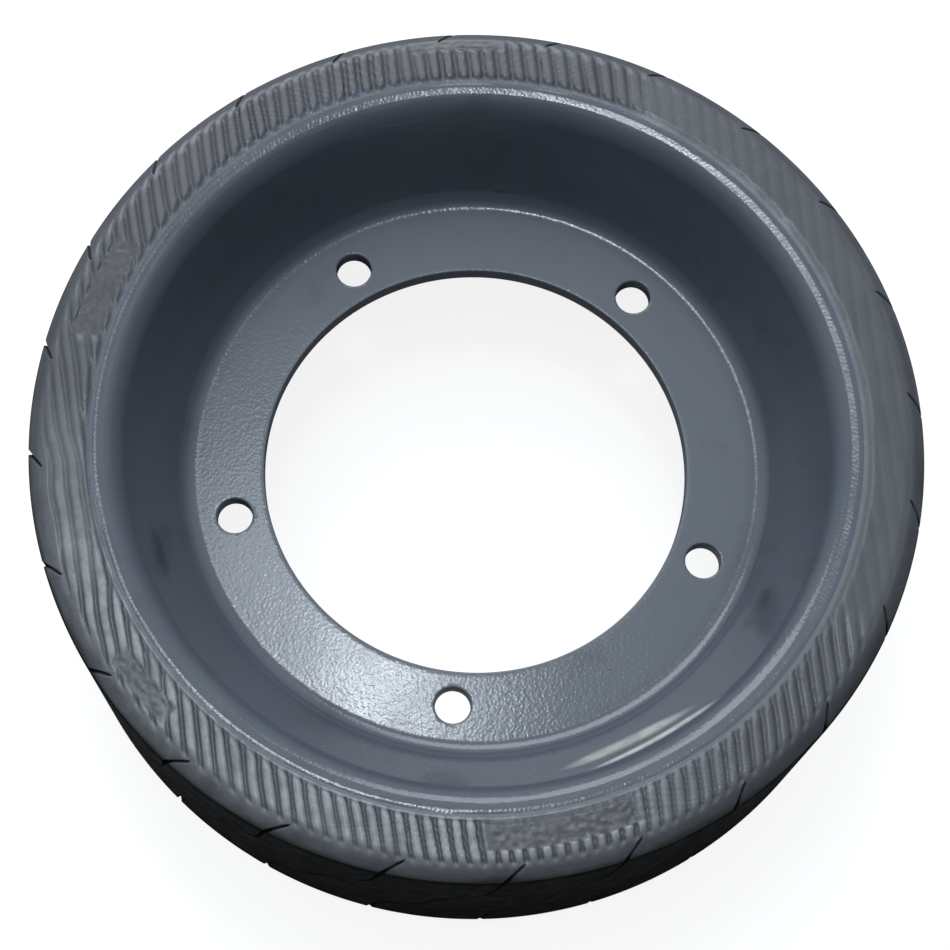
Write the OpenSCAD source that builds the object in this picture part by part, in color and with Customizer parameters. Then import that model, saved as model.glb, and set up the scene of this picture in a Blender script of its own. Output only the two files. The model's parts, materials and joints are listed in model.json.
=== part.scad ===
// Deep-dish steel drive wheel with a solid rubber tyre moulded onto it.
//
// The wheel lies on its side. +Z runs along the axle towards the open dish,
// and the origin is the wheel centre: on the axis, half way across the tread.
// Azimuths are counted from +X towards +Y, and all sizes are in millimetres.
//
// Construction, from the inside out: a pressed dish with the mounting disc,
// a rolled band with one butt weld, the two welds that join dish and band,
// a hard rubber base bonded to the band, and the grey tread over it.

/* [Tyre] */
// Outside diameter of the tyre
tyre_od = 381; // [377:1:385]
// Width of the tyre over its sidewalls
tyre_w = 127; // [125:1:130]
// Radius of the rounded shoulders
shoulder_r = 10; // [8:0.5:12]
// Thickness of the hard base layer on the band
base_t = 6; // [4:0.5:8]
// Thickness of tread rubber over the ends of the base layer
side_cover = 4; // [3:0.5:6]
// How far the sidewalls stand out past the ends of the band
side_proud = 1.5; // [1:0.1:2]

/* [Tread grooves] */
// Number of grooves round the tread
groove_count = 24; // [20:1:24]
// Azimuth of the first groove's start, in degrees
groove_phase = 11; // [4:1:11]
// Angle that a whole groove sweeps as it crosses the tread, in degrees
groove_sweep = 22.5; // [22:0.5:25]
// Width of a groove in the tread
groove_w = 2; // [1.5:0.1:2.5]
// Depth of a groove in the tread
groove_depth = 3; // [2:0.1:4]
// Width of the notch where a groove cuts the shoulder
notch_w = 2.6; // [2.5:0.1:4]
// Radial depth of the notch, seen on the sidewall
notch_depth = 7; // [5:0.5:8]
// How far the notch runs down from the sidewall
notch_h = 13; // [11:0.5:15]
// Lean of the notch away from a radius, in degrees
notch_lean = 50; // [45:1:55]

/* [Rim band] */
// Outside diameter of the band, under the rubber
band_od = 326; // [324:1:328]
// Thickness of the band
band_t = 5; // [5:0.5:6]
// Number of keying grooves under the rubber
key_count = 6; // [3:1:7]
// Width of a keying groove
key_w = 5; // [3:0.5:6]
// Depth of a keying groove
key_depth = 1.2; // [0.8:0.1:1.5]
// Azimuth of the butt weld that closes the band, in degrees
seam_az = 97; // [90:1:110]
// Width of the butt weld
seam_w = 6; // [5:0.5:8]

/* [Dish] */
// Thickness of the plate
plate_t = 8; // [7.5:0.5:8.5]
// Height of the disc's outer face above the wheel centre
disc_z = 13; // [11:0.5:15]
// Half angle of the dish wall's cone, in degrees
wall_angle = 26.5; // [25:0.5:28]
// Radius of the bend between the disc and the wall, inside the dish
bend_r = 10; // [8:0.5:12]
// Radius of the lip where the wall turns out to the band
lip_bend_r = 14; // [14:0.5:16]

/* [Hub interface] */
// Diameter of the centre bore
bore_d = 187; // [180:1:190]
// Pitch circle diameter of the stud holes
stud_pcd = 217; // [215:0.5:220]
// Number of stud holes
stud_count = 5; // [4:1:6]
// Diameter of a stud hole
stud_d = 15.5; // [14:0.5:17]
// Azimuth of the first stud hole, in degrees
stud_phase = -90; // [-90:1:0]
// Edge break on the bore and on the stud holes
edge_break = 0.6; // [0.4:0.1:0.8]

/* [Hidden] */

painted_steel = [0.42, 0.45, 0.50];
weld_grey = [0.50, 0.53, 0.58];
black_rubber = [0.08, 0.08, 0.08];
grey_rubber = [0.45, 0.46, 0.48];

fn_turned = 180;
fn_arc = 72;
fn_hole = 48;
arc_steps = 12;
// Overrun of a cutter past the surface it opens
over = 1;

tyre_r = tyre_od / 2;
side_z = tyre_w / 2;
band_ro = band_od / 2;
band_ri = band_ro - band_t;
band_end_z = side_z - side_proud;

// The lip would be level lip_lap out over the band, lip_proud above its end,
// but the plate is cut off where it meets the band.
lip_lap = 4.4;
lip_proud = 0.3;
lip_cr = band_ri + lip_lap;
lip_cz = band_end_z + lip_proud - lip_bend_r;
lip_back_r = lip_bend_r - plate_t;

// The straight wall joins the two bends.
bend_cz = disc_z + bend_r;
wall_len = (lip_cz - bend_cz) / cos(wall_angle) + (lip_bend_r + bend_r) * tan(wall_angle);
bend_cr = lip_cr - (lip_bend_r + bend_r) * cos(wall_angle) - wall_len * sin(wall_angle);

// The front weld fills a vee between the lip and a bevel on the band.
vee_inset = 2;
vee_depth = 2.8;
vee_r = band_ri - vee_inset;
vee_top_z = lip_cz + sqrt(lip_bend_r * lip_bend_r - pow(lip_cr - vee_r, 2));
vee_root_z = vee_top_z - vee_depth;
bevel_w = 4.5;
bevel_z = vee_root_z + over;
crown_r = 13;

// The rear weld fills the narrow vee behind the lip, down to rear_leg from its
// root, and leaves a flat land beside each toe of its hollow face.
rear_leg = 6;
rear_hollow_r = 3.2;
rear_land = 0.3;
rear_root_z = lip_cz + sqrt(lip_back_r * lip_back_r - lip_lap * lip_lap);
rear_toe_z = rear_root_z - rear_leg;
rear_toe_r = lip_cr - lip_back_r / cos(wall_angle) - (lip_cz - rear_toe_z) * tan(wall_angle);

// The seam's bead is an arc that stands proud inside the band and stays
// narrower than the weld.
seam_angle = 2 * asin(seam_w / 2 / band_ri);
bead_proud = 1.2;
bead_half = 0.48 * seam_w;
bead_r = (bead_half * bead_half + bead_proud * bead_proud) / 2 / bead_proud;

base_ro = band_ro + base_t;
base_end_z = side_z - side_cover;
key_pitch = 2 * base_end_z / (key_count + 1);

// One half of a groove's course, from the shoulder to the middle of the tread:
// distance along the tread from the notch, and height
groove_mid = tyre_r * groove_sweep / 2 * PI / 180;
half_course = [[8, side_z - 6], [12.5, 38], [18, 24], [groove_mid - 6, 12], [groove_mid, 0]];
// The half groove is cut square to the tread at its own middle.
half_mid_angle = groove_sweep / 4;

// Unit vector along a course at point i
function heading(c, i) =
    let (a = c[max(i - 1, 0)], b = c[min(i + 1, len(c) - 1)])
    (b - a) / norm(b - a);

// Closed outline of a ribbon of width w along course c
function ribbon(c, w) = concat(
    [for (i = [0 : len(c) - 1]) c[i] + w / 2 * [-heading(c, i)[1], heading(c, i)[0]]],
    [for (i = [len(c) - 1 : -1 : 0]) c[i] - w / 2 * [-heading(c, i)[1], heading(c, i)[0]]]);

// A radial section turned all the way round the axle
module turned() {
    rotate_extrude($fn = fn_turned) children();
}

// Places children at each stud hole
module at_studs() {
    for (i = [0 : stud_count - 1])
        rotate([0, 0, stud_phase + i * 360 / stud_count])
            translate([stud_pcd / 2, 0, 0])
                children();
}

// A through hole in the disc with both edges broken
module disc_hole(d, fn) {
    wide = d / 2 + edge_break + over;
    translate([0, 0, disc_z - plate_t - over])
        cylinder(h = plate_t + 2 * over, r = d / 2, $fn = fn);
    translate([0, 0, disc_z - edge_break])
        cylinder(h = edge_break + over, r1 = d / 2, r2 = wide, $fn = fn);
    translate([0, 0, disc_z - plate_t - over])
        cylinder(h = edge_break + over, r1 = wide, r2 = d / 2, $fn = fn);
}

// Points of an arc about c, from angle a to angle b
function arc_points(c, r, a, b) =
    [for (i = [0 : arc_steps]) c + r * [cos(a + (b - a) * i / arc_steps), sin(a + (b - a) * i / arc_steps)]];

// Back of the lip, from the band down to the straight wall
function lip_back() =
    arc_points([lip_cr, lip_cz], lip_back_r, acos(-lip_lap / lip_back_r), 180 - wall_angle);

// Radial section of the dish: flat disc, bend, conical wall and outward lip,
// bevelled at its end for the front weld
module dish_section() {
    bend = [bend_cr, bend_cz];
    lip = [lip_cr, lip_cz];
    polygon(concat(
        [[0, disc_z - plate_t], [0, disc_z]],
        arc_points(bend, bend_r, -90, -wall_angle),
        arc_points(lip, lip_bend_r, 180 - wall_angle, acos((vee_r - lip_cr) / lip_bend_r)),
        [[band_ri, vee_root_z]],
        lip_back(),
        arc_points(bend, bend_r + plate_t, -wall_angle, -90)));
}

module wheel_dish() {
    color(painted_steel)
        difference() {
            turned() dish_section();
            disc_hole(bore_d, fn_turned);
            at_studs() disc_hole(stud_d, fn_hole);
        }
}

// Radial section of the band, with the front bevel and the keying grooves
module band_section() {
    difference() {
        translate([band_ri, -band_end_z])
            square([band_t, 2 * band_end_z]);
        polygon([[band_ri, bevel_z], [band_ri + bevel_w, band_end_z],
                 [band_ri + bevel_w, band_end_z + over], [band_ri - over, band_end_z + over],
                 [band_ri - over, bevel_z]]);
        for (i = [1 : key_count])
            translate([band_ro - key_depth, -base_end_z + i * key_pitch - key_w / 2])
                square([key_depth + over, key_w]);
    }
}

module rim_band() {
    color(painted_steel)
        rotate([0, 0, seam_az + seam_angle / 2])
            rotate_extrude(angle = 360 - seam_angle, $fn = fn_turned)
                band_section();
}

// Butt weld across the band, with its bead left standing inside
module band_seam_weld() {
    // The bead stops just short of the rear weld.
    bead_top = rear_toe_z - over;
    color(weld_grey)
        rotate([0, 0, seam_az])
            union() {
                rotate([0, 0, -seam_angle / 2])
                    rotate_extrude(angle = seam_angle, $fn = fn_turned)
                        band_section();
                intersection() {
                    translate([band_ri - bead_proud + bead_r, 0, -band_end_z + over])
                        cylinder(h = bead_top + band_end_z - over, r = bead_r, $fn = fn_hole);
                    cylinder(h = 4 * side_z, r = band_ri + over / 2, center = true, $fn = fn_turned);
                }
            }
}

// Crowned bead in the vee between the lip and the band
module front_weld() {
    toe = [vee_r, vee_top_z];
    edge = [band_ri + bevel_w, band_end_z];
    chord = edge - toe;
    rise = sqrt(crown_r * crown_r - norm(chord) * norm(chord) / 4);
    up = [-chord[1], chord[0]] / norm(chord);
    centre = (toe + edge) / 2 - rise * up;
    color(weld_grey)
        turned()
            union() {
                polygon([toe, [band_ri, vee_root_z], [band_ri, bevel_z], edge]);
                intersection() {
                    translate(centre)
                        circle(r = crown_r, $fn = fn_arc);
                    polygon([toe, edge, edge + crown_r * up, toe + crown_r * up]);
                }
            }
}

// Hollow-faced bead in the narrow vee between the back of the lip and the band
module rear_weld() {
    gap = band_ri - rear_toe_r;
    drop = sqrt(rear_hollow_r * rear_hollow_r - gap * gap / 4) + rear_land;
    color(weld_grey)
        turned()
            difference() {
                polygon(concat([[band_ri, rear_toe_z]], lip_back(), [[rear_toe_r, rear_toe_z]]));
                translate([(band_ri + rear_toe_r) / 2, rear_toe_z - drop])
                    circle(r = rear_hollow_r, $fn = fn_arc);
            }
}

// Hard rubber that keys into the band's grooves and bonds the tread to it
module tyre_base() {
    color(black_rubber)
        turned()
            union() {
                translate([band_ro, -base_end_z])
                    square([base_t, 2 * base_end_z]);
                for (i = [1 : key_count])
                    translate([band_ro - key_depth, -base_end_z + i * key_pitch - key_w / 2])
                        square([key_depth, key_w]);
            }
}

// Radial section of the tread rubber, hollow where the base layer lies
module tread_section() {
    shoulder_z = side_z - shoulder_r;
    difference() {
        union() {
            translate([band_ro, -shoulder_z])
                square([tyre_r - band_ro, 2 * shoulder_z]);
            translate([band_ro, -side_z])
                square([tyre_r - shoulder_r - band_ro, 2 * side_z]);
            for (s = [-1, 1])
                translate([tyre_r - shoulder_r, s * shoulder_z])
                    circle(r = shoulder_r, $fn = fn_arc);
        }
        translate([band_ro - over, -base_end_z])
            square([base_t + over, 2 * base_end_z]);
        // Chamfer where the sidewall meets the end of the band
        for (s = [-1, 1])
            polygon([[band_ro, s * band_end_z], [band_ro + side_proud, s * side_z],
                     [band_ro + side_proud, s * (side_z + over)],
                     [band_ro - over, s * (side_z + over)], [band_ro - over, s * band_end_z]]);
    }
}

// Cutter for half a groove: shoulder notch, then a ribbon to mid tread
module half_groove() {
    rotate([0, 0, groove_sweep / 2])
        translate([tyre_r - notch_depth, 0, side_z - notch_h])
            rotate([0, 0, -notch_lean])
                translate([0, -notch_w / 2, 0])
                    cube([2 * notch_depth, notch_w, notch_h + over]);
    rotate([0, 0, groove_sweep / 2 - half_mid_angle])
        translate([tyre_r - groove_depth, 0, 0])
            rotate([90, 0, 90])
                linear_extrude(height = groove_depth + 2 * over)
                    translate([groove_mid / 2, 0])
                        mirror([1, 0])
                            polygon(ribbon(half_course, groove_w));
}

module tyre_tread() {
    color(grey_rubber)
        difference() {
            turned() tread_section();
            for (i = [0 : groove_count - 1])
                rotate([0, 0, groove_phase - groove_sweep / 2 + i * 360 / groove_count]) {
                    half_groove();
                    rotate([180, 0, 0]) half_groove();
                }
        }
}

wheel_dish();
rim_band();
band_seam_weld();
front_weld();
rear_weld();
tyre_base();
tyre_tread();
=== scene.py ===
"""A deep-dish steel drive wheel with a moulded-on solid rubber tyre, lying on its back sidewall."""
import json
import math

import bpy
import numpy as np
from mathutils import Matrix, Vector


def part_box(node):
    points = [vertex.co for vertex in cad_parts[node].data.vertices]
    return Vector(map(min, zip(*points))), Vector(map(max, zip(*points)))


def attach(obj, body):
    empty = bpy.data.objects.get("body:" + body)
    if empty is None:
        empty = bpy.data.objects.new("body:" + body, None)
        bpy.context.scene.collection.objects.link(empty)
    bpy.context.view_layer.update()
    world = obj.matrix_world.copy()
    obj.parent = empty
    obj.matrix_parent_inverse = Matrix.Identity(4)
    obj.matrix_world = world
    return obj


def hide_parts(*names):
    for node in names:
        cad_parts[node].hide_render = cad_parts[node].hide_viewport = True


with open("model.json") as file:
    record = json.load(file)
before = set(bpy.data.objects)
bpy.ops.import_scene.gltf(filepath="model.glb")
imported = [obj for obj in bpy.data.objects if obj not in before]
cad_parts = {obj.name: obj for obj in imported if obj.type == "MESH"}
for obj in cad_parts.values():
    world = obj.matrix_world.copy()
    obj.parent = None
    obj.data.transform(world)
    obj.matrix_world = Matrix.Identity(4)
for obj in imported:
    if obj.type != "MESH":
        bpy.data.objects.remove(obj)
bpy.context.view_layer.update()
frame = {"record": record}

MM = 0.001
TAU = 2 * math.pi

# ---------------------------------------------------------------- sizes
# Lengths are in metres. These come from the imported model.
mounts = {m["name"]: m for m in frame["record"]["mounts"]}
tyre_low, tyre_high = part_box("tyre_tread")
band_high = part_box("rim_band")[1]
dish_low, dish_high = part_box("wheel_dish")
base_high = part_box("tyre_base")[1]
weld_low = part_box("front_weld")[0]

TYRE_R, SIDE_Z, FLOOR_Z = tyre_high.x, tyre_high.z, tyre_low.z
BAND_END_Z = band_high.z
BAND_INNER_R = dish_high.x
BASE_R, BASE_END_Z = base_high.x, base_high.z
DISC_Z, DISC_BACK_Z = mounts["nut_face"]["pos_m"][2], dish_low.z
VEE_ROOT_Z = weld_low.z
BORE_R = mounts["hub_bore"]["dims"]["r_mm"] * MM
STUD_R = mounts["hub_studs"]["dims"]["hole_r_mm"] * MM
STUD_CIRCLE_R = mounts["hub_studs"]["dims"]["pcd_mm"] / 2 * MM
STUD_COUNT = mounts["hub_studs"]["dims"]["count"]

# These are in part.scad too, because a box or a mount doesn't give them.
BAND_T = 5 * MM
BAND_R = BAND_INNER_R + BAND_T
BEVEL_W = 4.5 * MM
BEVEL_Z = VEE_ROOT_Z + 1 * MM
VEE_R = BAND_INNER_R - 2 * MM
WALL_ANGLE = math.radians(26.5)
BEND_R = 10 * MM
LIP_BEND_R = 14 * MM
LIP_LAP = 4.4 * MM
LIP_PROUD = 0.3 * MM
SHOULDER_R = 10 * MM
STUD_PHASE = -90
SEAM_AZ = math.radians(97)
SEAM_W = 6 * MM
REAR_LEG = 6 * MM
GROOVE_COUNT = 24
GROOVE_PHASE = 11
GROOVE_SWEEP = 22.5
KEY_COUNT = 6
KEY_W = 5 * MM
KEY_DEPTH = 1.2 * MM

PLATE_T = DISC_Z - DISC_BACK_Z
LIP_CR = BAND_INNER_R + LIP_LAP
LIP_CZ = BAND_END_Z + LIP_PROUD - LIP_BEND_R
LIP_BACK_R = LIP_BEND_R - PLATE_T
BEND_CZ = DISC_Z + BEND_R
WALL_LEN = (LIP_CZ - BEND_CZ) / math.cos(WALL_ANGLE) + (LIP_BEND_R + BEND_R) * math.tan(WALL_ANGLE)
BEND_CR = LIP_CR - (LIP_BEND_R + BEND_R) * math.cos(WALL_ANGLE) - WALL_LEN * math.sin(WALL_ANGLE)
REAR_ROOT_Z = LIP_CZ + math.sqrt(LIP_BACK_R**2 - LIP_LAP**2)
REAR_TOE_Z = REAR_ROOT_Z - REAR_LEG
REAR_TOE_R = LIP_CR - LIP_BACK_R / math.cos(WALL_ANGLE) - (LIP_CZ - REAR_TOE_Z) * math.tan(WALL_ANGLE)


# ---------------------------------------------------------------- small helpers
def smoothstep(low, high, x):
    """0 below low, 1 above high, and smooth between them."""
    t = np.clip((x - low) / (high - low), 0, 1)
    return t * t * (3 - 2 * t)


NOISE_SIZE = 512


def value_noise(x, y, seed, period=NOISE_SIZE):
    """Smooth noise from -1 to 1, with about one bump to each unit of x and y. It repeats along x."""
    size = NOISE_SIZE
    table = np.random.default_rng(seed).uniform(-1, 1, (size, size))
    x0, y0 = np.floor(x).astype(int), np.floor(y).astype(int)
    u, v = smoothstep(0, 1, x - x0), smoothstep(0, 1, y - y0)
    this, after, low, high = x0 % period, (x0 + 1) % period, y0 % size, (y0 + 1) % size
    near = table[this, low] * (1 - u) + table[after, low] * u
    far = table[this, high] * (1 - u) + table[after, high] * u
    return near * (1 - v) + far * v


def ring_noise(azimuth, across, bumps, seed):
    """Noise along a ring with a whole number of bumps round it, so it closes."""
    return value_noise(azimuth / TAU * bumps + 0 * across, across + 0 * azimuth, seed, bumps)


def wrapped(angle):
    """Angle brought to the range -pi to pi."""
    return (angle + math.pi) % TAU - math.pi


def bump_at(x, centre, width):
    """A smooth bump of height 1 at centre."""
    return np.exp(-(((x - centre) / width) ** 2))


def curve_through(knots, x):
    """Smooth curve through (x, y) knots, taken at x."""
    xs, ys = np.array(knots, float).T
    slopes = np.gradient(ys, xs)
    i = np.clip(np.searchsorted(xs, x) - 1, 0, len(xs) - 2)
    step = xs[i + 1] - xs[i]
    t = np.clip((x - xs[i]) / step, 0, 1)
    a, b = 2 * t**3 - 3 * t**2 + 1, t**3 - 2 * t**2 + t
    c, d = -2 * t**3 + 3 * t**2, t**3 - t**2
    return a * ys[i] + b * step * slopes[i] + c * ys[i + 1] + d * step * slopes[i + 1]


def arc(centre, radius, start, end, count):
    """count + 1 points (r, z) of an arc. Angles are in radians, from outwards to up."""
    return [
        (centre[0] + radius * math.cos(a), centre[1] + radius * math.sin(a))
        for a in np.linspace(start, end, count + 1)
    ]


def line(start, end, count):
    """Points from start up to, but not at, end."""
    return [tuple(np.array(start) + (np.array(end) - start) * i / count) for i in range(count)]


def make_mesh(name, points, faces, body="root", smooth_angle=40):
    """A smooth-shaded mesh object from points and faces, riding on a body."""
    mesh = bpy.data.meshes.new(name)
    mesh.from_pydata(points.reshape(-1, 3).tolist(), [], faces)
    mesh.shade_smooth()
    mesh.set_sharp_from_angle(angle=math.radians(smooth_angle))
    piece = bpy.data.objects.new(name, mesh)
    bpy.context.scene.collection.objects.link(piece)
    if body:
        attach(piece, body)
    return piece


def grid_faces(rows, columns, close_rows=True, close_columns=True):
    """Quads over a grid of points. They face outwards when rows run clockwise in the
    radial section and columns run round +Z."""
    index = np.arange(rows * columns).reshape(rows, columns)
    if close_rows:
        index = np.concatenate([index, index[:1]])
    if close_columns:
        index = np.concatenate([index, index[:, :1]], 1)
    quads = np.stack([index[:-1, :-1], index[1:, :-1], index[1:, 1:], index[:-1, 1:]], -1)
    return quads.reshape(-1, 4).tolist()


def turned_points(section, azimuths):
    """Grid of points: section's rows of (r, z) turned to each azimuth. r and z may vary by column."""
    r, z = section[..., 0], section[..., 1]
    if section.ndim == 2:
        r, z = r[:, None], z[:, None] * np.ones(len(azimuths))
    return np.stack([r * np.cos(azimuths), r * np.sin(azimuths), z], -1)


def finish_piece(piece, slot, material, *nodes):
    """Gives a piece its material, and hides the CAD nodes that it stands for."""
    piece.data.materials.append(material)
    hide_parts(*nodes)


# ---------------------------------------------------------------- steel parts
def lip_z(r):
    """Height of the lip's rounded face at radius r."""
    return LIP_CZ + math.sqrt(LIP_BEND_R**2 - (LIP_CR - r) ** 2)


def dish_section():
    """The dish's radial section, clockwise from the bore's upper edge: disc, bend, wall, lip, back."""
    edge = 0.7 * MM
    bend, lip = (BEND_CR, BEND_CZ), (LIP_CR, LIP_CZ)
    down, wall, lip_wall = -math.pi / 2, -WALL_ANGLE, math.pi - WALL_ANGLE
    front = arc((BORE_R + edge, DISC_Z - edge), edge, math.pi, math.pi / 2, 4)
    front += line(front[-1], (BEND_CR, DISC_Z), 14)[1:] + arc(bend, BEND_R, down, wall, 18)
    lip_face = arc(lip, LIP_BEND_R, lip_wall, math.acos((VEE_R - LIP_CR) / LIP_BEND_R), 20)
    front += line(front[-1], lip_face[0], 30)[1:] + lip_face
    back = line((BAND_INNER_R, VEE_ROOT_Z), (BAND_INNER_R, REAR_ROOT_Z), 3)
    back += arc(lip, LIP_BACK_R, math.acos(-LIP_LAP / LIP_BACK_R), lip_wall, 8)
    back_bend = arc(bend, BEND_R + PLATE_T, wall, down, 20)
    back += line(back[-1], back_bend[0], 24)[1:] + back_bend
    back += line(back_bend[-1], (BORE_R + edge, DISC_BACK_Z), 14)[1:]
    back += arc((BORE_R + edge, DISC_BACK_Z + edge), edge, down, -math.pi, 4)
    return np.array(front + back)


def stud_cutter(azimuth):
    """Points and faces of a round cutter with a flared mouth at each face of the disc."""
    edge, over, sides = 0.9 * MM, 2 * MM, 64
    mouth = arc((STUD_R + edge, DISC_Z - edge), edge, math.pi, math.pi / 2, 5)
    foot = [(r, DISC_Z + DISC_BACK_Z - z) for r, z in reversed(mouth)]
    ends = [(STUD_R + edge, DISC_BACK_Z - over)], [(STUD_R + edge, DISC_Z + over)]
    section = np.array(ends[0] + foot + mouth + ends[1])[::-1]
    around = np.linspace(0, TAU, sides, endpoint=False)
    points = turned_points(section, around)
    points[..., 0] += STUD_CIRCLE_R * math.cos(azimuth)
    points[..., 1] += STUD_CIRCLE_R * math.sin(azimuth)
    faces = grid_faces(len(section), sides, close_rows=False)
    last = (len(section) - 1) * sides
    faces += [list(range(sides)), list(range(last + sides - 1, last - 1, -1))]
    return points.reshape(-1, 3), faces


def cut_stud_holes(piece):
    """Cuts the ring of stud holes out of the disc and leaves the result as the piece's own mesh."""
    points, faces = [], []
    for i in range(STUD_COUNT):
        more, quads = stud_cutter(math.radians(STUD_PHASE) + TAU * i / STUD_COUNT)
        faces += [[v + len(points) for v in f] for f in quads]
        points += more.tolist()
    cutter = make_mesh("stud_cutter", np.array(points), faces, body=None)
    cut = piece.modifiers.new("stud_holes", "BOOLEAN")
    cut.object, cut.operation, cut.solver = cutter, "DIFFERENCE", "EXACT"
    bpy.context.view_layer.update()
    evaluated = piece.evaluated_get(bpy.context.evaluated_depsgraph_get())
    done = bpy.data.meshes.new_from_object(evaluated)
    piece.modifiers.clear()
    piece.data = done
    done.name = piece.name
    done.shade_smooth()
    done.set_sharp_from_angle(angle=math.radians(40))
    bpy.data.objects.remove(cutter)


def make_dish(material):
    """The pressed dish. Its wall has the slight unevenness of drawn plate and one small raised nib."""
    columns = 720
    around = np.linspace(0, TAU, columns, endpoint=False)
    section = dish_section()
    points = turned_points(section, around)
    z = section[:, 1:]
    on_wall = smoothstep(DISC_Z + 1 * MM, DISC_Z + 12 * MM, z) * smoothstep(0, 6 * MM, lip_z(VEE_R) - z)
    front = np.arange(len(section))[:, None] <= np.argmax(section[:, 0]) - 1
    uneven = 0.16 * MM * ring_noise(around, z / (16 * MM), 30, 3)
    nib = 0.5 * MM * bump_at(np.degrees(around), 90.5, 1.1) * bump_at(z, 19 * MM, 0.9 * MM)
    lift = front * (on_wall * uneven + nib)
    points[..., 0] -= lift * math.cos(WALL_ANGLE) * np.cos(around)
    points[..., 1] -= lift * math.cos(WALL_ANGLE) * np.sin(around)
    points[..., 2] += lift * math.sin(WALL_ANGLE)
    piece = make_mesh("dish_plate", points, grid_faces(len(section), columns))
    cut_stud_holes(piece)
    finish_piece(piece, "wheel_paint", material, "wheel_dish")
    return piece


def make_front_weld(material):
    """Bead dressed flush with the lip, with a narrow ground flat, that ends flush with the rubber."""
    columns, edge_r = 1800, BAND_R - 0.05 * MM
    flat = (BAND_INNER_R + 0.2 * MM, BAND_INNER_R + 3 * MM)
    radii = np.linspace(VEE_R, edge_r, 32)
    ground = np.interp(radii, flat, [lip_z(r) for r in flat])
    top = [(r, z if flat[0] < r < flat[1] else lip_z(r)) for r, z in zip(radii, ground)]
    root = [(edge_r, BAND_END_Z), (BAND_INNER_R + BEVEL_W, BAND_END_Z)]
    root += [(BAND_INNER_R, BEVEL_Z), (BAND_INNER_R, VEE_ROOT_Z)]
    section = np.array(top + root)
    across = np.concatenate([np.linspace(-1, 1, len(top)), [1] * len(root)])[:, None]
    around = np.linspace(0, TAU, columns, endpoint=False)
    mid = np.clip(1 - across**4, 0, 1)
    fine = ring_noise(around, across * 1.5, 420, 5)
    wander = ring_noise(around, across * 0.8, 56, 8)
    lift = mid * (0.015 * MM * fine + 0.08 * MM * wander)
    z = section[:, 1:] + lift
    points = turned_points(np.stack([section[:, :1] + 0 * z, z], -1), around)
    piece = make_mesh("front_weld_bead", points, grid_faces(len(section), columns))
    finish_piece(piece, "weld_paint", material, "front_weld")
    return piece


def make_rear_weld(material):
    """Hollow-faced fillet in the narrow vee behind the lip, with stacked weld ripples."""
    ripple_count, columns = 340, 1800
    gap = BAND_INNER_R - REAR_TOE_R
    shares = np.linspace(0, 1, 13)
    face = [(BAND_INNER_R - gap * t, REAR_TOE_Z + 0.7 * MM * math.sin(math.pi * t)) for t in shares]
    lip_back = arc((LIP_CR, LIP_CZ), LIP_BACK_R, math.pi - WALL_ANGLE, math.acos(-LIP_LAP / LIP_BACK_R), 8)
    section = np.array(face + lip_back)
    across = np.concatenate([2 * shares - 1, [1] * len(lip_back)])[:, None]
    around = np.linspace(0, TAU, columns, endpoint=False)
    mid = np.clip(1 - across**2, 0, 1)
    ripple = 0.5 + 0.5 * np.cos(TAU * (around / TAU * ripple_count + 0.9 * mid))
    wander = ring_noise(around, 0 * across, 75, 11)
    r = section[:, :1] + 0 * around
    z = section[:, 1:] - mid * (0.35 * MM * ripple + 0.3 * MM * wander)
    points = turned_points(np.stack([r, z], -1), around)
    piece = make_mesh("rear_weld_bead", points, grid_faces(len(section), columns))
    finish_piece(piece, "weld_paint", material, "rear_weld")
    return piece


def band_inner_r(z):
    """Inner radius of the band at height z, with the bevel for the front weld."""
    slope = BEVEL_W / (BAND_END_Z - BEVEL_Z)
    return BAND_INNER_R + max(0, z - BEVEL_Z) * slope


def keyed_line():
    """Outer surface of the band from top to bottom, with the grooves that key the rubber."""
    pitch = 2 * BASE_END_Z / (KEY_COUNT + 1)
    points = []
    for i in range(KEY_COUNT, 0, -1):
        high = -BASE_END_Z + i * pitch + KEY_W / 2
        low = high - KEY_W
        points += [(BAND_R, high), (BAND_R - KEY_DEPTH, high), (BAND_R - KEY_DEPTH, low), (BAND_R, low)]
    return points


def make_band(material):
    """Rolled band, open at the butt weld, with eased edges."""
    edge, columns = 0.8 * MM, 720
    down = -math.pi / 2
    top, bottom = BAND_END_Z, -BAND_END_Z
    section = line((band_inner_r(top), top), (BAND_R - edge, top), 3)
    section += arc((BAND_R - edge, top - edge), edge, math.pi / 2, 0, 4) + keyed_line()
    section += arc((BAND_R - edge, bottom + edge), edge, 0, down, 4)
    section += arc((BAND_INNER_R + edge, bottom + edge), edge, down, -math.pi, 4)
    bevel_foot = (BAND_INNER_R, BEVEL_Z)
    section += line((BAND_INNER_R, bottom + 2 * edge), bevel_foot, 40) + [bevel_foot]
    section = np.array(section)
    half_gap = math.asin(SEAM_W / 2 / BAND_INNER_R)
    around = np.linspace(SEAM_AZ + half_gap, SEAM_AZ + TAU - half_gap, columns)
    points = turned_points(section, around)
    rows = len(section)
    faces = grid_faces(rows, columns, close_columns=False)
    first = [i * columns for i in range(rows)]
    faces += [first[::-1], [i + columns - 1 for i in first]]
    piece = make_mesh("band_hoop", points, faces)
    finish_piece(piece, "wheel_paint", material, "rim_band")
    return piece


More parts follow.
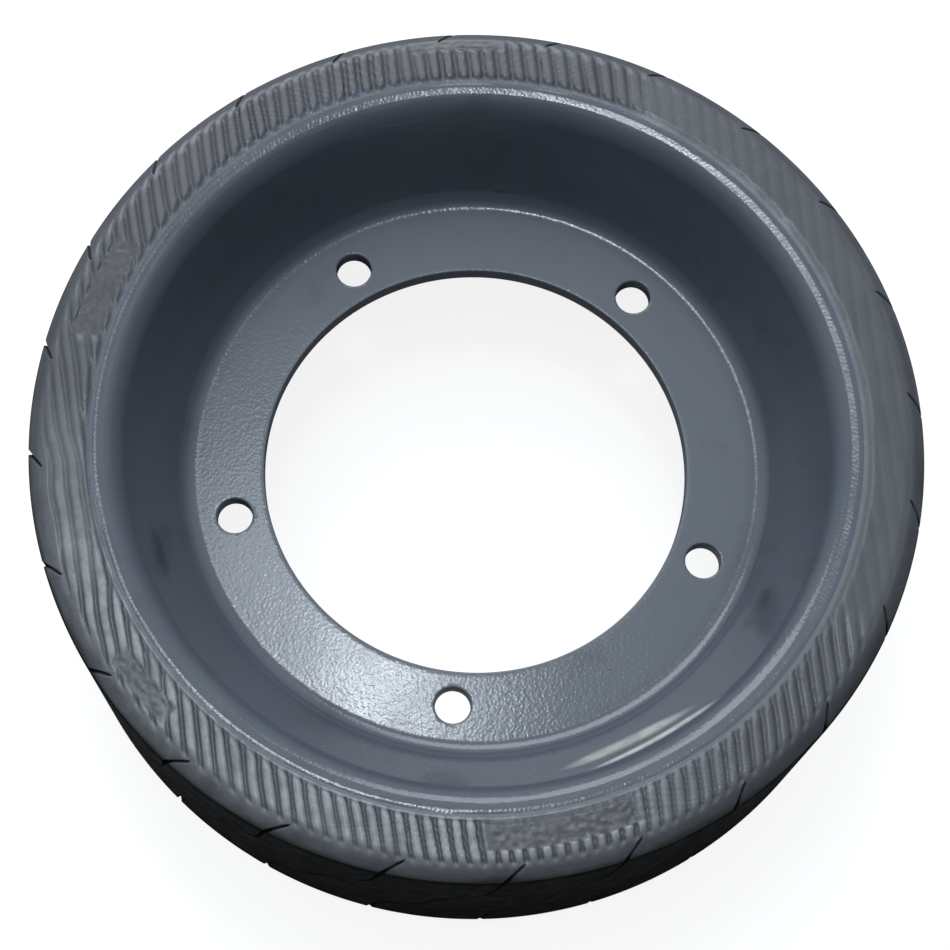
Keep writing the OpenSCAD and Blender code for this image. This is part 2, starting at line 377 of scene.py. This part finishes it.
def make_seam(material):
    """Butt weld across the band, with its rippled bead left standing inside."""
    ripple_pitch, row_step, arc_count = 3.0 * MM, 0.5 * MM, 14
    bead_top = REAR_TOE_Z - 1 * MM
    half_gap = math.asin(SEAM_W / 2 / BAND_INNER_R)
    heights = np.arange(BAND_END_Z, -BAND_END_Z - row_step / 2, -row_step)
    across = np.linspace(-1, 1, arc_count + 1)
    rows = []
    for z in heights:
        stands = smoothstep(0, 2 * MM, bead_top - z) * smoothstep(0, 3 * MM, z + BAND_END_Z)
        ripple = np.cos(TAU * (z / ripple_pitch + 0.8 * (1 - across**2)))
        proud = stands * (1 - across**2) * (1.1 * MM + 0.22 * MM * ripple)
        inner = np.stack([band_inner_r(z) - proud, SEAM_AZ + half_gap * across], -1)
        outer = np.array([(BAND_R, SEAM_AZ + half_gap * t) for t in (1, 0, -1)])
        r, a = np.concatenate([inner, outer]).T
        rows.append(np.stack([r * np.cos(a), r * np.sin(a), z + 0 * r], -1))
    points = np.array(rows)
    count, columns = points.shape[:2]
    faces = grid_faces(count, columns, close_rows=False)
    faces = [f[::-1] for f in faces]
    last = (count - 1) * columns
    faces += [list(range(columns))[::-1], list(range(last, last + columns))]
    piece = make_mesh("band_seam_bead", points, faces)
    finish_piece(piece, "weld_paint", material, "band_seam_weld")
    return piece


# ---------------------------------------------------------------- tyre
RIB_H = 0.8 * MM
RIB_PITCH = 5.9 * MM
RIB_ACROSS = math.radians(13)
SIDE_END_R = TYRE_R - SHOULDER_R
TREAD_TOP_Z = SIDE_Z - SHOULDER_R
SHOULDER_LEN = SHOULDER_R * math.pi / 2
INNER_EDGE_Z = lip_z(BAND_R)
INNER_EDGE_W = 5 * MM
SECTOR = TAU / GROOVE_COUNT
TREAD_BORDER_Z = TREAD_TOP_Z + 3.7 * MM
# The tread's near-black colour is painted shade: the grey rubber there lies in shade.
TREAD_SHADE_COLOUR = (0.0095, 0.0088, 0.0078, 1)

# Half of a groove's course: distance along the profile from the notch's start,
# and how far the groove has moved back round the tyre by then
NOTCH_START = 3 * MM
GROOVE_HALF_LEN = SHOULDER_LEN + TREAD_TOP_Z - NOTCH_START
GROOVE_HALF_MOVE = TYRE_R * math.radians(GROOVE_SWEEP) / 2
COURSE = [
    (0, 0), (8.8 * MM, 8.6 * MM), (16 * MM, 10.5 * MM), (28 * MM, 12.5 * MM), (42 * MM, 18 * MM),
    (54 * MM, GROOVE_HALF_MOVE - 6 * MM), (GROOVE_HALF_LEN, GROOVE_HALF_MOVE),
]

# Stippled pads between the ribs: azimuths in degrees, and radii
PADS = [
    (-84, -63, 165 * MM, 178 * MM),
    (92, 105, 179 * MM, 184 * MM),
    (156, 172, 167 * MM, 179 * MM),
    (219, 230, 172 * MM, 181 * MM),
]
PAD_EDGE = 0.7 * MM
# The sector without ribs, where only their trace is left
PLAIN_SECTOR = (-25, 72)


def half_profile():
    """Rows of the tyre's outer profile from the band to mid tread: r, z, outward normal (r, z)
    and distance along it from the start of the shoulder."""
    rows = [(BAND_R, BAND_END_Z, 0, 0, BAND_R - SIDE_END_R)]
    for t in np.linspace(0, 1, 7):
        z = INNER_EDGE_Z + (SIDE_Z - INNER_EDGE_Z) * smoothstep(0, 1, t)
        rows.append((BAND_R + INNER_EDGE_W * t, z, 0, 1, BAND_R + INNER_EDGE_W * t - SIDE_END_R))
    for r in np.linspace(BAND_R + INNER_EDGE_W, SIDE_END_R, 26)[1:]:
        rows.append((r, SIDE_Z, 0, 1, r - SIDE_END_R))
    for a in np.linspace(0, math.pi / 2, 25)[1:]:
        r, z = SIDE_END_R + SHOULDER_R * math.sin(a), TREAD_TOP_Z + SHOULDER_R * math.cos(a)
        rows.append((r, z, math.sin(a), math.cos(a), SHOULDER_R * a))
    for z in np.linspace(TREAD_TOP_Z, 0, 25)[1:]:
        rows.append((TYRE_R, z, 1, 0, SHOULDER_LEN + TREAD_TOP_Z - z))
    return np.array(rows)


def groove_half_width(u):
    """Half width of a groove at distance u from its notch's start."""
    opens = 0.2 * MM + 0.9 * MM * smoothstep(-0.5 * MM, 2 * MM, u)
    return opens - 0.3 * MM * smoothstep(14 * MM, 20 * MM, u)


def groove_depth(u):
    """Depth of a groove at distance u from its notch's start."""
    return 3.2 * MM * smoothstep(0, 2.5 * MM, u) - 0.2 * MM * smoothstep(12 * MM, 19 * MM, u)


# Section across a groove: distance from its middle in half widths, and share of its full depth
GROOVE_SECTION = [(0.7, 1), (0.82, 0.85), (1.0, 0.12), (1.12, 0.03), (1.35, 0)]
GROOVE_REACH = GROOVE_SECTION[-1][0]


def sector_offsets():
    """Column places across one sector as (share of the groove's half width, share of the rest)."""
    near = [0, 0.35] + [place for place, _ in GROOVE_SECTION]
    rest = np.linspace(0, 1, 27)[1:]
    half = [(n, 0) for n in near] + [(near[-1], t) for t in rest]
    back = [(-n, -t) for n, t in half[1:-1][::-1]]
    return np.array(back + half)


def rib_pattern(x, y, r, azimuth, seed, pads):
    """Height of the moulded ribs on a sidewall, from 0 in a valley to 1 on a crest."""
    degrees = np.degrees(wrapped(azimuth))
    grainy = np.clip(bump_at(degrees, -172, 26) + bump_at(degrees, 188, 26), 0, 1)
    warp = 1.1 * value_noise(x / (55 * MM) + 9, y / (55 * MM) + 9, seed)
    warp += (0.4 + 0.6 * grainy) * value_noise(x / (11 * MM) + 40, y / (16 * MM) + 40, seed + 1)
    across = x * math.cos(RIB_ACROSS) + y * math.sin(RIB_ACROSS) + warp * MM
    phase = across / RIB_PITCH * (1 - 0.06 * y / TYRE_R)
    valley = smoothstep(-0.25, 0.75, np.cos(TAU * phase))
    strength = 0.85 + 0.2 * value_noise(x / (23 * MM) + 70, y / (23 * MM) + 70, seed + 2)
    ribs = 1 - valley * strength * (1 - 0.4 * grainy)
    edge = 5
    plain = smoothstep(PLAIN_SECTOR[0] - edge, PLAIN_SECTOR[0] + edge, degrees)
    plain = plain * smoothstep(0, 2 * edge, PLAIN_SECTOR[1] + edge - degrees)
    level = ribs * (1 - plain) + (0.68 + 0.1 * ribs) * plain
    for low, high, inner, outer in pads:
        turned = degrees + 360 * (degrees < low - 90)
        inside = smoothstep(low - 1, low + 1, turned) * smoothstep(-1, 1, high - turned)
        inside = inside * smoothstep(-PAD_EDGE, PAD_EDGE, r - inner)
        inside = inside * smoothstep(-PAD_EDGE, PAD_EDGE, outer - r)
        stipple = 0.32 + 0.13 * value_noise(x / (1.7 * MM) + 90, y / (1.7 * MM) + 90, seed + 3)
        level = level * (1 - inside) + stipple * inside
    return level


def half_tyre(side, seed, pads):
    """Points of one half of the tyre's outer skin, rows from the band to mid tread.
    side is 1 in front, -1 behind."""
    rows = half_profile()
    r, z, nr, nz, along = (c[:, None] for c in rows.T)
    u = along - NOTCH_START
    move = curve_through(COURSE, np.maximum(u, 0))
    move = move if side > 0 else 2 * GROOVE_HALF_MOVE - move
    near, rest = sector_offsets().T
    width = np.maximum(groove_half_width(u), 0.5 * MM)
    offset = near * width + rest * (TYRE_R * SECTOR / 2 - GROOVE_REACH * width)
    gap = np.abs(near) * width / np.maximum(groove_half_width(u), 0.2 * MM)
    cut = np.interp(gap, *zip(*GROOVE_SECTION)) * (rest == 0)
    depth = groove_depth(u) * cut
    sectors = math.radians(GROOVE_PHASE) + SECTOR * np.arange(GROOVE_COUNT)
    azimuth = sectors[None, :, None] + ((offset - move) / TYRE_R)[:, None, :]
    azimuth = azimuth.reshape(len(rows), -1)
    depth = np.tile(depth, (1, GROOVE_COUNT))
    x, y = r * np.cos(azimuth), r * np.sin(azimuth)
    shown = smoothstep(BAND_R + 1.6 * MM, BAND_R + 3.4 * MM, r)
    shown = shown * smoothstep(0, 3 * MM, SIDE_END_R + 4.5 * MM - r)
    ribs = RIB_H * (1 - rib_pattern(x, y, r, azimuth, seed, pads)) * shown
    inward = ribs + depth
    rr, zz = r - nr * inward, z - nz * inward
    return np.stack([rr * np.cos(azimuth), rr * np.sin(azimuth), side * zz], -1)


def make_tyre(sidewall, tread):
    """The tread rubber: ribbed sidewalls, rounded shoulders with notches, and thin grooves across."""
    front = half_tyre(1, 21, PADS)
    back = half_tyre(-1, 61, [])
    columns = front.shape[1]
    end_z = BASE_END_Z
    azimuths = np.arctan2(front[0, :, 1], front[0, :, 0])
    hollow = [(BAND_R, -end_z), (BASE_R, -end_z), (BASE_R, end_z), (BAND_R, end_z)]
    inside = turned_points(np.array(hollow), azimuths)
    points = np.concatenate([front, back[-2::-1], inside])
    faces = grid_faces(len(points), columns)
    piece = make_mesh("tyre_tread_rubber", points, faces, smooth_angle=35)
    finish_piece(piece, "tread_rubber", sidewall, "tyre_tread")
    piece.data.materials.append(tread)
    for face in piece.data.polygons:
        face.material_index = int(abs(face.center.z) < TREAD_BORDER_Z)
    return piece


def make_base_layer(material):
    """The hard rubber between the band and the tread, which only shows where the wheel is cut open."""
    columns = 360
    section = [(BAND_R, BASE_END_Z), (BASE_R, BASE_END_Z), (BASE_R, -BASE_END_Z), (BAND_R, -BASE_END_Z)]
    section += keyed_line()[::-1]
    points = turned_points(np.array(section), np.linspace(0, TAU, columns, endpoint=False))
    piece = make_mesh("tyre_base_layer", points, grid_faces(len(section), columns))
    finish_piece(piece, "base_rubber", material, "tyre_base")
    return piece


# ---------------------------------------------------------------- materials
def set_range(node, low, high, to_low, to_high):
    """Sets a smooth Map Range node to map low..high to to_low..to_high."""
    node.interpolation_type = "SMOOTHSTEP"
    for name, number in zip(("From Min", "From Max", "To Min", "To Max"), (low, high, to_low, to_high)):
        node.inputs[name].default_value = number


class Shader:
    """A material's node tree with one Principled shader, and short ways to add to it."""

    def __init__(self, name):
        self.material = bpy.data.materials.new(name)
        self.material.use_nodes = True
        self.tree = self.material.node_tree
        self.surface = self.tree.nodes["Principled BSDF"]
        self.place = self.tree.nodes.new("ShaderNodeTexCoord").outputs["Object"]

    def link(self, value, socket):
        """Puts a number, a colour or another node's output into a socket."""
        if isinstance(value, bpy.types.NodeSocket):
            self.tree.links.new(value, socket)
        else:
            socket.default_value = value

    def math(self, operation, *values, clamp=False):
        """The result of a sum, product or other operation on numbers or outputs."""
        node = self.tree.nodes.new("ShaderNodeMath")
        node.operation, node.use_clamp = operation, clamp
        for value, socket in zip(values, node.inputs):
            self.link(value, socket)
        return node.outputs[0]

    def noise(self, size, detail=2.0, roughness=0.5, shift=(0, 0, 0)):
        """Noise from about 0.2 to 0.8, with blotches of this size in metres."""
        mapping = self.tree.nodes.new("ShaderNodeMapping")
        self.link(self.place, mapping.inputs["Vector"])
        mapping.inputs["Location"].default_value = shift
        node = self.tree.nodes.new("ShaderNodeTexNoise")
        self.link(mapping.outputs[0], node.inputs["Vector"])
        node.inputs["Scale"].default_value = 1 / size
        node.inputs["Detail"].default_value = detail
        node.inputs["Roughness"].default_value = roughness
        return node.outputs["Fac"]

    def cells(self, size):
        """Distance to the nearest of a scatter of points, this far apart in metres."""
        node = self.tree.nodes.new("ShaderNodeTexVoronoi")
        self.link(self.place, node.inputs["Vector"])
        node.inputs["Scale"].default_value = 1 / size
        return node.outputs["Distance"]

    def step(self, value, low, high, to_low=0.0, to_high=1.0):
        """value mapped smoothly from low..high to to_low..to_high."""
        node = self.tree.nodes.new("ShaderNodeMapRange")
        self.link(value, node.inputs["Value"])
        set_range(node, low, high, to_low, to_high)
        return node.outputs["Result"]

    def mix(self, factor, one, other):
        """Colour one where factor is 0 and the other where it is 1."""
        node = self.tree.nodes.new("ShaderNodeMix")
        node.data_type = "RGBA"
        self.link(factor, node.inputs["Factor"])
        self.link(one, node.inputs[6])
        self.link(other, node.inputs[7])
        return node.outputs[2]

    def bump(self, height, distance):
        """Bumps of this many metres, on top of any added before."""
        node = self.tree.nodes.new("ShaderNodeBump")
        node.inputs["Distance"].default_value = distance
        self.link(height, node.inputs["Height"])
        if self.surface.inputs["Normal"].is_linked:
            self.link(self.surface.inputs["Normal"].links[0].from_socket, node.inputs["Normal"])
        self.link(node.outputs[0], self.surface.inputs["Normal"])

    def cylinder_place(self):
        """Distance from the axis in metres, azimuth in radians from -pi to pi, and height in metres."""
        split = self.tree.nodes.new("ShaderNodeSeparateXYZ")
        self.link(self.place, split.inputs[0])
        x, y = split.outputs[0], split.outputs[1]
        squares = self.math("ADD", self.math("MULTIPLY", x, x), self.math("MULTIPLY", y, y))
        return self.math("SQRT", squares), self.math("ARCTAN2", y, x), split.outputs[2]


def painted_steel(name, ripple_count=0):
    """Blue-grey gloss enamel with orange peel, a disc painted lighter as painted light for the light it
    catches facing up, soft stains, dark patches of painted reflection and pale streaks of painted
    highlight on the dish wall, a few chips and, on welds, fine ripples."""
    m = Shader(name)
    paint, pale, bare_and_dark_reflection_colour = (0.083, 0.096, 0.120, 1), (0.097, 0.110, 0.134, 1), (0.045, 0.046, 0.052, 1)
    radius, azimuth, height = m.cylinder_place()
    cloud = m.step(m.noise(60 * MM, 3), 0.35, 0.65)
    colour = m.mix(m.math("MULTIPLY", cloud, 0.6), paint, pale)
    # Painted light: the disc is mixed towards a lighter colour for the light it catches facing up.
    lit_disc_colour = (0.128, 0.143, 0.168, 1)
    on_disc = m.step(radius, BEND_CR + 2 * MM, BEND_CR - 5 * MM, 0, 0.6)
    colour = m.mix(on_disc, colour, lit_disc_colour)
    grime = m.step(m.noise(38 * MM, 4, 0.6, shift=(3, 1, 2)), 0.56, 0.72)
    colour = m.mix(m.math("MULTIPLY", grime, 0.28), colour, bare_and_dark_reflection_colour)
    # Painted reflection: two dark patches on the dish wall, in the same dark colour as bare chips and
    # grime.
    colour = m.mix(m.math("MULTIPLY", painted_reflection_patches(m, azimuth, height), 0.5), colour, bare_and_dark_reflection_colour)
    # Painted highlight: two pale streaks on the dish wall stand in for a light's reflection.
    highlight_streak_colour = (0.68, 0.68, 0.60, 1)
    colour = m.mix(painted_highlight_streaks(m, azimuth, height), colour, highlight_streak_colour)
    chips = m.step(m.cells(7 * MM), 0.1, 0.06)
    chips = m.math("MULTIPLY", chips, m.step(m.noise(22 * MM, 2, shift=(7, 5, 1)), 0.62, 0.7))
    colour = m.mix(m.math("MULTIPLY", chips, 0.75), colour, bare_and_dark_reflection_colour)
    m.link(colour, m.surface.inputs["Base Color"])
    dulled = m.step(radius, VEE_R - 3 * MM, VEE_R + 2 * MM, 0, 0.01)
    roughness = m.math("ADD", m.step(m.noise(30 * MM, 4), 0.3, 0.7, 0.14, 0.19), dulled)
    m.link(roughness, m.surface.inputs["Roughness"])
    m.surface.inputs["Specular IOR Level"].default_value = 0.5
    m.surface.inputs["Coat Weight"].default_value = 0.08
    m.surface.inputs["Coat Roughness"].default_value = 0.12
    m.bump(m.noise(1.25 * MM, 0.0), 0.048 * MM)
    m.bump(m.noise(9 * MM, 1, shift=(2, 2, 2)), 0.03 * MM)
    m.bump(m.math("SUBTRACT", 1.0, chips), 0.08 * MM)
    if ripple_count:
        lean = m.math("MULTIPLY", radius, TAU / (4 * MM))
        ripple = m.math("SINE", m.math("ADD", m.math("MULTIPLY", azimuth, ripple_count), lean))
        m.bump(ripple, 0.004 * MM)
    return m.material


# Pale streaks of painted highlight on the dish wall, standing in for a light's reflection: azimuth, half
# length in radians, height, half width, bow, strength
PAINTED_HIGHLIGHT_STREAKS = [
    (-1.03, 0.24, 40.5 * MM, 7 * MM, 7 * MM, 0.75),
    (-0.97, 0.24, 52.7 * MM, 3.2 * MM, 4 * MM, 0.9),
]


# Soft dark patches of painted reflection on the dish wall: azimuth, height, half width in radians, half
# height
PAINTED_REFLECTION_PATCHES = [(-0.44, 32 * MM, 0.1, 7 * MM), (-2.7, 42 * MM, 0.12, 6 * MM)]


def painted_highlight_streaks(m, azimuth, height):
    """Two long pale streaks on the dish wall: a painted highlight, standing in for a light's reflection.
    """
    total = 0.0
    for centre, long, z, tall, bow, strength in PAINTED_HIGHLIGHT_STREAKS:
        along = m.math("DIVIDE", m.math("SUBTRACT", azimuth, centre), long)
        squared = m.math("MULTIPLY", along, along)
        away = m.math("SUBTRACT", m.math("SUBTRACT", height, z), m.math("MULTIPLY", squared, bow))
        away = m.math("DIVIDE", m.math("ABSOLUTE", away), m.step(squared, 1.0, 0.0, 0.25, 1.0))
        ends = m.step(m.math("ABSOLUTE", along), 1.0, 0.4)
        mark = m.math("MULTIPLY", m.math("MULTIPLY", m.step(away, tall, 0.2 * tall), ends), strength)
        total = m.math("ADD", total, mark, clamp=True)
    streak_breakup = m.step(m.noise(7 * MM, 3, 0.6, shift=(4, 8, 3)), 0.3, 0.62, 0.65, 1.0)
    return m.math("MULTIPLY", total, streak_breakup)


def painted_reflection_patches(m, azimuth, height):
    """Two soft dark patches on the dish wall: a painted reflection."""
    total = 0.0
    for centre, z, wide, tall in PAINTED_REFLECTION_PATCHES:
        across = m.math("DIVIDE", m.math("SUBTRACT", azimuth, centre), wide)
        up = m.math("DIVIDE", m.math("SUBTRACT", height, z), tall)
        apart = m.math("ADD", m.math("MULTIPLY", across, across), m.math("MULTIPLY", up, up))
        mark = m.step(apart, 1.0, 0.1)
        total = m.math("ADD", total, mark, clamp=True)
    return m.math("MULTIPLY", total, m.step(m.noise(9 * MM, 3), 0.3, 0.6))


# Azimuths in radians of the sidewall's lighter side, partly chalk and partly painted sheen, and of the
# paint's widest overspray
CHALK_AND_SHEEN_AZ = -1.95
OVERSPRAY_AZ = 2.14


def sidewall_rubber(name):
    """Non-marking grey rubber: pale crests, lighter on one side (partly chalk, partly painted sheen),
    valleys and shoulder darkened as painted shade, and paint overspray.
    """
    m = Shader(name)
    crest, valley, paint = (0.085, 0.090, 0.103, 1), (0.034, 0.037, 0.044, 1), (0.075, 0.090, 0.118, 1)
    radius, azimuth, height = m.cylinder_place()
    # Lighter crests on one side: partly chalk, partly painted sheen where the key lights glare.
    chalk_and_sheen_colour = (0.320, 0.326, 0.345, 1)
    chalk_and_sheen_share = m.step(m.math("ABSOLUTE", m.math("SUBTRACT", azimuth, CHALK_AND_SHEEN_AZ)), 1.3, 0.5)
    inside = m.step(radius, SIDE_END_R + 2 * MM, SIDE_END_R - 2 * MM, 0.35, 1.0)
    uneven = m.step(m.noise(9 * MM, 3, 0.6, shift=(5, 3, 9)), 0.35, 0.6, 0.55, 1.0)
    chalk_and_sheen_share = m.math("MULTIPLY", m.math("MULTIPLY", chalk_and_sheen_share, inside), uneven)
    crest = m.mix(chalk_and_sheen_share, crest, chalk_and_sheen_colour)
    sunk = m.math("SUBTRACT", SIDE_Z, m.math("ABSOLUTE", height))
    sunk = m.math("MULTIPLY", sunk, m.step(radius, BAND_R + 1.2 * MM, BAND_R + 3 * MM))
    sunk = m.math("MULTIPLY", sunk, m.step(radius, SIDE_END_R + 4 * MM, SIDE_END_R + 0.5 * MM))
    # Painted shade: the rib valleys are darkened by their depth.
    colour = m.mix(m.step(sunk, 0.1 * RIB_H, 0.85 * RIB_H), crest, valley)
    blotch = m.step(m.noise(26 * MM, 4, 0.6), 0.35, 0.7)
    colour = m.mix(m.math("MULTIPLY", blotch, 0.30), colour, valley)
    speck = m.step(m.noise(1.6 * MM, 3, 0.7), 0.45, 0.75)
    colour = m.mix(m.math("MULTIPLY", speck, 0.22), colour, valley)
    # Painted shade: the shoulder darkens to the tread's near-black colour along a wavy border.
    wave = m.step(m.noise(30 * MM, 2), 0.3, 0.7, -0.9 * MM, 0.9 * MM)
    border = m.math("ADD", m.math("ABSOLUTE", height), wave)
    dark = m.step(border, TREAD_BORDER_Z + 3.5 * MM, TREAD_BORDER_Z)
    colour = m.mix(dark, colour, TREAD_SHADE_COLOUR)
    near_spray = m.math("ABSOLUTE", m.math("SUBTRACT", azimuth, OVERSPRAY_AZ))
    reach = m.step(near_spray, 0.42, 0.25, 0.8 * MM, 4.5 * MM)
    ragged = m.math("MULTIPLY", m.step(m.noise(5 * MM, 3), 0.25, 0.75), reach)
    spray = m.step(m.math("SUBTRACT", radius, ragged), BAND_R + 1.6 * MM, BAND_R + 0.7 * MM)
    colour = m.mix(m.math("MULTIPLY", spray, 0.85), colour, paint)
    m.link(colour, m.surface.inputs["Base Color"])
    m.link(m.step(m.noise(12 * MM, 4), 0.3, 0.7, 0.28, 0.37), m.surface.inputs["Roughness"])
    m.surface.inputs["Specular IOR Level"].default_value = 0.6
    m.bump(m.noise(1.3 * MM, 2, 0.5), 0.05 * MM)
    m.bump(m.noise(5 * MM, 2, shift=(1, 4, 2)), 0.07 * MM)
    return m.material


def tread_rubber(name):
    """The running surface: nearly black as painted shade, dull and a little dusty."""
    m = Shader(name)
    dust = m.step(m.noise(14 * MM, 5, 0.65), 0.4, 0.75)
    m.link(m.mix(dust, TREAD_SHADE_COLOUR, (0.022, 0.020, 0.017, 1)), m.surface.inputs["Base Color"])
    m.link(m.step(m.noise(9 * MM, 4), 0.3, 0.7, 0.6, 0.8), m.surface.inputs["Roughness"])
    m.surface.inputs["Specular IOR Level"].default_value = 0.09
    m.bump(m.noise(1.3 * MM, 3, 0.6), 0.10 * MM)
    return m.material


def black_rubber(name):
    """Hard black bonding layer."""
    m = Shader(name)
    patch = m.step(m.noise(8 * MM, 3), 0.35, 0.65)
    m.link(m.mix(patch, (0.012, 0.012, 0.012, 1), (0.022, 0.021, 0.02, 1)), m.surface.inputs["Base Color"])
    m.surface.inputs["Roughness"].default_value = 0.7
    m.bump(m.noise(1.5 * MM, 2), 0.1 * MM)
    return m.material


def floor_material():
    """Plain off-white studio floor, kept bright where it is seen and dim in the wheel's reflections."""
    m = Shader("studio_floor")
    m.surface.inputs["Base Color"].default_value = (0.3, 0.3, 0.3, 1)
    m.surface.inputs["Emission Color"].default_value = (1, 1, 1, 1)
    seen = m.tree.nodes.new("ShaderNodeLightPath").outputs["Is Camera Ray"]
    m.link(m.math("MULTIPLY", seen, 0.86), m.surface.inputs["Emission Strength"])
    m.surface.inputs["Roughness"].default_value = 0.9
    return m.material


# ---------------------------------------------------------------- studio
def make_floor():
    """Plain floor under the wheel, not part of the object."""
    half = 6.0
    corners = [(x, y, FLOOR_Z) for x, y in ((-half, -half), (half, -half), (half, half), (-half, half))]
    floor = make_mesh("floor", np.array(corners), [[0, 1, 2, 3]], body=None)
    floor.data.materials.append(floor_material())


def area_light(name, place, target, size, power, along=(1, 0, 0), tint=(1, 1, 1)):
    """A rectangular soft light at place, facing target, with its long side running along."""
    lamp = bpy.data.lights.new(name, "AREA")
    lamp.shape, lamp.energy = "RECTANGLE", power
    lamp.size, lamp.size_y = size
    lamp.color = tint
    light = bpy.data.objects.new(name, lamp)
    bpy.context.scene.collection.objects.link(light)
    back = (Vector(place) - Vector(target)).normalized()
    side = back.cross(Vector(along)).normalized()
    turn = Matrix((side.cross(back), side, back)).transposed().to_4x4()
    light.matrix_world = Matrix.Translation(place) @ turn


# The key lights: name, place, target on the disc, size, watts, direction of the long side
KEY_TINT = (0.86, 0.93, 1.0)
KEY_LIGHTS = [
    ("key", (-0.098, 0.252, 1.57), (-0.045, -0.11, DISC_Z), (0.12, 0.11), 0.85, (-0.68, 0.73, 0)),
    ("end_key", (-0.030, 0.215, 1.57), (-0.012, -0.115, DISC_Z), (0.10, 0.06), 0.7, (0.9, -0.44, 0)),
    ("long_key", (-0.178, 0.337, 1.57), (-0.08, -0.08, DISC_Z), (0.34, 0.26), 1.4, (-0.68, 0.73, 0)),
]


def light_studio():
    """Three key lights in a bent row above the wheel, a broad soft one behind it, and a dim sky."""
    for name, place, target, size, power, along in KEY_LIGHTS:
        area_light(name, place, target, size, power, along, KEY_TINT)
    area_light("soft", (-0.50, 1.6, 1.5), (0, 0, 0), (1.6, 1.0), 21, tint=(0.92, 0.96, 1.0))
    world = bpy.data.worlds.new("studio")
    bpy.context.scene.world = world
    world.use_nodes = True
    tree = world.node_tree
    background = tree.nodes["Background"]
    background.inputs["Color"].default_value = (0.84, 0.92, 1.0, 1)
    place = tree.nodes.new("ShaderNodeTexCoord")
    lean = tree.nodes.new("ShaderNodeVectorMath")
    lean.operation = "DOT_PRODUCT"
    lean.inputs[1].default_value = (-0.2, 0.55, 0.8)
    tree.links.new(place.outputs["Generated"], lean.inputs[0])
    sky = tree.nodes.new("ShaderNodeMapRange")
    set_range(sky, 0.3, 0.95, 0.15, 1.1)
    tree.links.new(lean.outputs["Value"], sky.inputs["Value"])
    tree.links.new(sky.outputs["Result"], background.inputs["Strength"])


def aim_camera():
    """High in front of the wheel, and rolled a little."""
    distance, elevation, roll = 1.017, math.radians(72), math.radians(5.5)
    direction = Vector((0, -math.cos(elevation), math.sin(elevation)))
    right, up = Vector((1, 0, 0)), Vector((1, 0, 0)).cross(-direction)
    across = math.cos(roll) * right + math.sin(roll) * up
    rise = math.cos(roll) * up - math.sin(roll) * right
    turn = Matrix((across, rise, direction)).transposed().to_4x4()
    lens = bpy.data.cameras.new("camera")
    lens.sensor_width, lens.lens = 36, 85.9
    lens.clip_start = 0.05
    camera = bpy.data.objects.new("camera", lens)
    camera.matrix_world = Matrix.Translation(direction * distance) @ turn
    bpy.context.scene.collection.objects.link(camera)
    bpy.context.scene.camera = camera


# ---------------------------------------------------------------- the wheel
steel = painted_steel("wheel_enamel")
weld = painted_steel("weld_enamel", ripple_count=530)
make_dish(steel)
make_band(steel)
make_seam(weld)
make_front_weld(weld)
make_rear_weld(weld)
make_base_layer(black_rubber("bonding_rubber"))
make_tyre(sidewall_rubber("sidewall_rubber"), tread_rubber("tread_rubber"))
make_floor()
light_studio()
aim_camera()
bpy.context.scene.view_settings.view_transform = "Standard"
